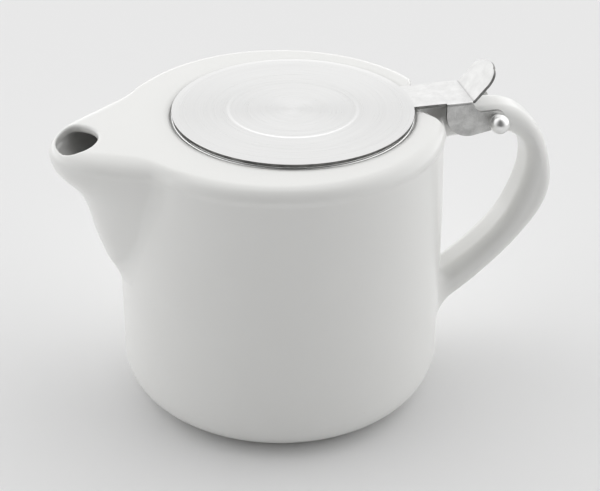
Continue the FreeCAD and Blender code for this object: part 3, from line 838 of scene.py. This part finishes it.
def disc_material():
    """Steel brushed in circles round the disc's centre."""
    m = Nodes("steel_circular_brushed")
    d = m.vec("SUBTRACT", m.co, (OX * MM, 0, 0))
    d = m.vec("MULTIPLY", d, (1, 1, 0))
    r = m.vec("LENGTH", d)
    cross = m.new("ShaderNodeVectorMath", operation="CROSS_PRODUCT")
    cross.inputs[0].default_value = (0, 0, 1)
    m.link(d, cross.inputs[1])
    vt = m.new("ShaderNodeVectorTransform", vector_type="VECTOR", convert_from="OBJECT", convert_to="WORLD")
    m.link(m.vec("NORMALIZE", cross.outputs[0]), vt.inputs[0])
    m.link(vt.outputs[0], m.bsdf.inputs["Tangent"])
    # lines: noise drawn out along the circle
    sep = m.new("ShaderNodeSeparateXYZ"); m.link(d, sep.inputs[0])
    ang = m.math("ARCTAN2", sep.outputs[1], sep.outputs[0])

    def lines(k, long, seed):
        c = m.new("ShaderNodeCombineXYZ")
        m.link(m.math("MULTIPLY", r, k), c.inputs[0])
        m.link(m.math("MULTIPLY", m.math("SINE", ang), long), c.inputs[1])
        m.link(m.math("ADD", m.math("MULTIPLY", m.math("COSINE", ang), long), seed), c.inputs[2])
        return c.outputs[0]
    fine = m.noise(1.0, 2.0, 0.6, vec=lines(9000.0, 1.6, 3.0))
    mid = m.noise(1.0, 3.0, 0.6, vec=lines(2400.0, 0.7, 17.0))
    wide = m.noise(1.0, 2.0, 0.5, vec=lines(420.0, 0.4, 31.0))
    mix = m.math("ADD", m.math("MULTIPLY", fine, 0.45), m.math("ADD", m.math("MULTIPLY", mid, 0.35), m.math("MULTIPLY", wide, 0.2)))
    col = m.mixcol(m.maprange(mix, 0.3, 0.7, 0, 1), (0.70, 0.70, 0.695, 1), (0.79, 0.79, 0.785, 1))
    m.link(col, m.bsdf.inputs["Base Color"])
    m.link(m.maprange(mix, 0.25, 0.75, 0.24, 0.36), m.bsdf.inputs["Roughness"])
    b = m.bump(fine, 0.25, 0.00002)
    b = m.bump(mid, 0.2, 0.00004, b)
    m.link(b, m.bsdf.inputs["Normal"])
    m.set(Metallic=1.0, Anisotropic=0.7)
    return m.mat


def satin_steel(name, dark, light, rough=(0.30, 0.42), grain=1.0):
    """Tumbled steel: cloudy, with fine pits and a few hair scratches."""
    m = Nodes(name)
    cloud = m.noise(260.0, 5.0, 0.65, dist=0.4)
    fine = m.noise(2600.0, 3.0, 0.6)
    mix = m.math("ADD", m.math("MULTIPLY", cloud, 0.75), m.math("MULTIPLY", fine, 0.25))
    m.link(m.mixcol(m.maprange(mix, 0.33, 0.67, 0, 1), dark, light), m.bsdf.inputs["Base Color"])
    m.link(m.maprange(mix, 0.3, 0.7, rough[1], rough[0]), m.bsdf.inputs["Roughness"])
    stretch = m.vec("MULTIPLY", m.co, (300.0, 2600.0, 2600.0))
    scr = m.noise(1.0, 2.0, 0.5, vec=stretch)
    b = m.bump(cloud, 0.30 * grain, 0.00006)
    b = m.bump(fine, 0.25 * grain, 0.00002, b)
    b = m.bump(scr, 0.15 * grain, 0.00002, b)
    m.link(b, m.bsdf.inputs["Normal"])
    m.set(Metallic=1.0)
    return m.mat


# =====================================================================
# the pieces
# =====================================================================
glaze = glaze_material()
disc_mat = disc_material()
arm_mat = satin_steel("steel_tumbled", (0.70, 0.70, 0.695, 1), (0.84, 0.84, 0.835, 1))
# the thumb tab: a darker copy of the arm's steel, painted shade for the tab's upturned face
tab_mat_painted_shade = satin_steel("steel_tab_painted_shade", (0.52, 0.52, 0.515, 1), (0.61, 0.61, 0.605, 1), (0.34, 0.44), 0.6)
# the ears: a darker copy of the arm's steel; the mottling is the steel's own, the darker tone is painted shade for
# faces turned to the dark side
ear_mat_painted_shade = satin_steel("steel_ear_painted_shade", (0.40, 0.40, 0.395, 1), (0.64, 0.64, 0.63, 1), (0.34, 0.46), 1.6)
# the sheet's cut edges: the same steel painted nearly black, painted shade for the dark side that the thin edges
# reflect
painted_shade_edge_mat = satin_steel("steel_edge_painted_shade", (0.10, 0.10, 0.098, 1), (0.30, 0.30, 0.29, 1), (0.45, 0.6), 1.5)
pin_mat = satin_steel("steel_turned", (0.74, 0.74, 0.735, 1), (0.88, 0.88, 0.875, 1), (0.26, 0.36), 0.8)
basket_mat = satin_steel("steel_basket", (0.66, 0.66, 0.655, 1), (0.80, 0.80, 0.795, 1), (0.28, 0.38), 0.7)
rim_mat = satin_steel("steel_polished_rim", (0.78, 0.78, 0.775, 1), (0.88, 0.88, 0.875, 1), (0.12, 0.20), 0.3)

pot = make_pot()
pot.data.materials.append(glaze)
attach(pot, "pot"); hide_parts("pot_body", "handle")

lid = make_lid()
# slots: 0 disc, 1 arm, 2 tab, 3 ears, 4 cut edges; 2, 3 and 4 are darker copies of the one steel, painted shade
for mat in (disc_mat, arm_mat, tab_mat_painted_shade, ear_mat_painted_shade, painted_shade_edge_mat):
    lid.data.materials.append(mat)
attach(lid, "lid"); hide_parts("lid")

pin = make_pin(); pin.data.materials.append(pin_mat)
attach(pin, "lid"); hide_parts("hinge_pin")
cap = make_cap(); cap.data.materials.append(pin_mat)
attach(cap, "lid"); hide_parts("hinge_cap")

rim = make_rim(); rim.data.materials.append(rim_mat)
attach(rim, "infuser"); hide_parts("infuser_rim")
wall = perforated_wall(); wall.data.materials.append(basket_mat)
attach(wall, "infuser"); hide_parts("infuser_wall")
base = perforated_base(); base.data.materials.append(basket_mat)
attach(base, "infuser"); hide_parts("infuser_base")

# =====================================================================
# floor, light, camera
# =====================================================================
FRONT = (-0.2419, -0.9703, 0.0)            # towards the viewer's side, on the floor
SIDE = (0.9703, -0.2419, 0.0)
# a soft studio tent, by the angle from FRONT (degrees, positive towards SIDE): its walls, and its roof
WALLS = [(-180, 2.0), (-105, 3.0), (-60, 1.5), (-30, 0.12), (0, 0.08), (30, 0.12), (65, 1.3), (110, 2.7), (180, 2.0)]
ROOF = [(-180, 1.25), (-120, 1.9), (-75, 1.5), (-35, 0.32), (0, 0.16), (35, 0.32), (75, 1.65), (120, 2.05), (180, 1.25)]
FLOOR_COLOUR = (0.80, 0.80, 0.80, 1)


class Light:
    """Node helper for the floor and the world."""

    def __init__(self, tree):
        self.t = tree
        tree.nodes.clear()

    def new(self, kind, **kw):
        n = self.t.nodes.new(kind)
        for k, v in kw.items():
            setattr(n, k, v)
        return n

    def link(self, a, b):
        self.t.links.new(a, b)

    def math(self, op, a, b=None):
        n = self.new("ShaderNodeMath", operation=op)
        for i, v in enumerate((a, b)):
            if isinstance(v, (int, float)):
                n.inputs[i].default_value = v
            elif v is not None:
                self.link(v, n.inputs[i])
        return n.outputs[0]

    def dot(self, v, d):
        n = self.new("ShaderNodeVectorMath", operation="DOT_PRODUCT")
        self.link(v, n.inputs[0]); n.inputs[1].default_value = d
        return n.outputs["Value"]

    def step(self, v, a, b):
        n = self.new("ShaderNodeMapRange", interpolation_type="SMOOTHSTEP")
        self.link(v, n.inputs["Value"])
        for k, x in zip(("From Min", "From Max", "To Min", "To Max"), (a, b, 0.0, 1.0)):
            n.inputs[k].default_value = x
        return n.outputs[0]

    def around(self, v, table):
        """A value by the angle of the vector v round the pot."""
        f = self.math("DIVIDE", self.math("ARCTAN2", self.dot(v, SIDE), self.dot(v, FRONT)), 2 * math.pi)
        n = self.new("ShaderNodeValToRGB")
        r = n.color_ramp
        r.interpolation = "LINEAR"
        while len(r.elements) < len(table):
            r.elements.new(0.5)
        for e, (ang, val) in zip(r.elements, table):
            e.position = (ang + 180) / 360
        for e, (ang, val) in zip(r.elements, table):
            e.color = (val / 5, val / 5, val / 5, 1)
        self.link(self.math("ADD", f, 0.5), n.inputs[0])
        return self.math("MULTIPLY", n.outputs[0], 5.0)


fl = bpy.data.meshes.new("floor")
S = 6.0
fl.from_pydata([(-S, -S, 0), (S, -S, 0), (S, S, 0), (-S, S, 0)], [], [(0, 1, 2, 3)])
floor = bpy.data.objects.new("floor", fl)
floor.location.z = -0.00005
scene.collection.objects.link(floor)
fm = bpy.data.materials.new("floor_white"); fm.use_nodes = True
nt = Light(fm.node_tree)
out = nt.new("ShaderNodeOutputMaterial")
paper = nt.new("ShaderNodeBsdfDiffuse")
paper.inputs["Color"].default_value = FLOOR_COLOUR
nt.link(paper.outputs[0], out.inputs["Surface"])
fl.materials.append(fm)

# a studio tent as the world: bright behind, above and at the sides, dark towards the viewer
world = bpy.data.worlds.new("studio"); scene.world = world
world.use_nodes = True
wt = Light(world.node_tree)
wdir = wt.new("ShaderNodeTexCoord").outputs["Generated"]
up = wt.dot(wdir, (0, 0, 1))
s1 = wt.step(up, 0.08, 0.34)
level = wt.math("MULTIPLY", wt.around(wdir, WALLS), wt.math("SUBTRACT", 1.0, s1))
level = wt.math("ADD", level, wt.math("MULTIPLY", wt.around(wdir, ROOF), s1))
bg = wt.new("ShaderNodeBackground")
wt.link(level, bg.inputs["Strength"])
wt.link(bg.outputs[0], wt.new("ShaderNodeOutputWorld").inputs["Surface"])

cam_data = bpy.data.cameras.new("camera")
cam = bpy.data.objects.new("camera", cam_data)
scene.collection.objects.link(cam)
cam_data.sensor_width, cam_data.lens = 36.0, 96.0
cam_data.clip_start, cam_data.clip_end = 0.01, 30.0
RIGHT, UP, BACK = (0.971128, -0.238484, 0.006019), (0.115789, 0.493263, 0.862139), (-0.208575, -0.836550, 0.506636)
POS = (-0.108618, -0.463667, 0.329615)
cam.matrix_world = Matrix([
    (RIGHT[0], UP[0], BACK[0], POS[0]),
    (RIGHT[1], UP[1], BACK[1], POS[1]),
    (RIGHT[2], UP[2], BACK[2], POS[2]),
    (0, 0, 0, 1)])
scene.camera = cam
scene.view_settings.view_transform = "Standard"

bpy.context.view_layer.update()
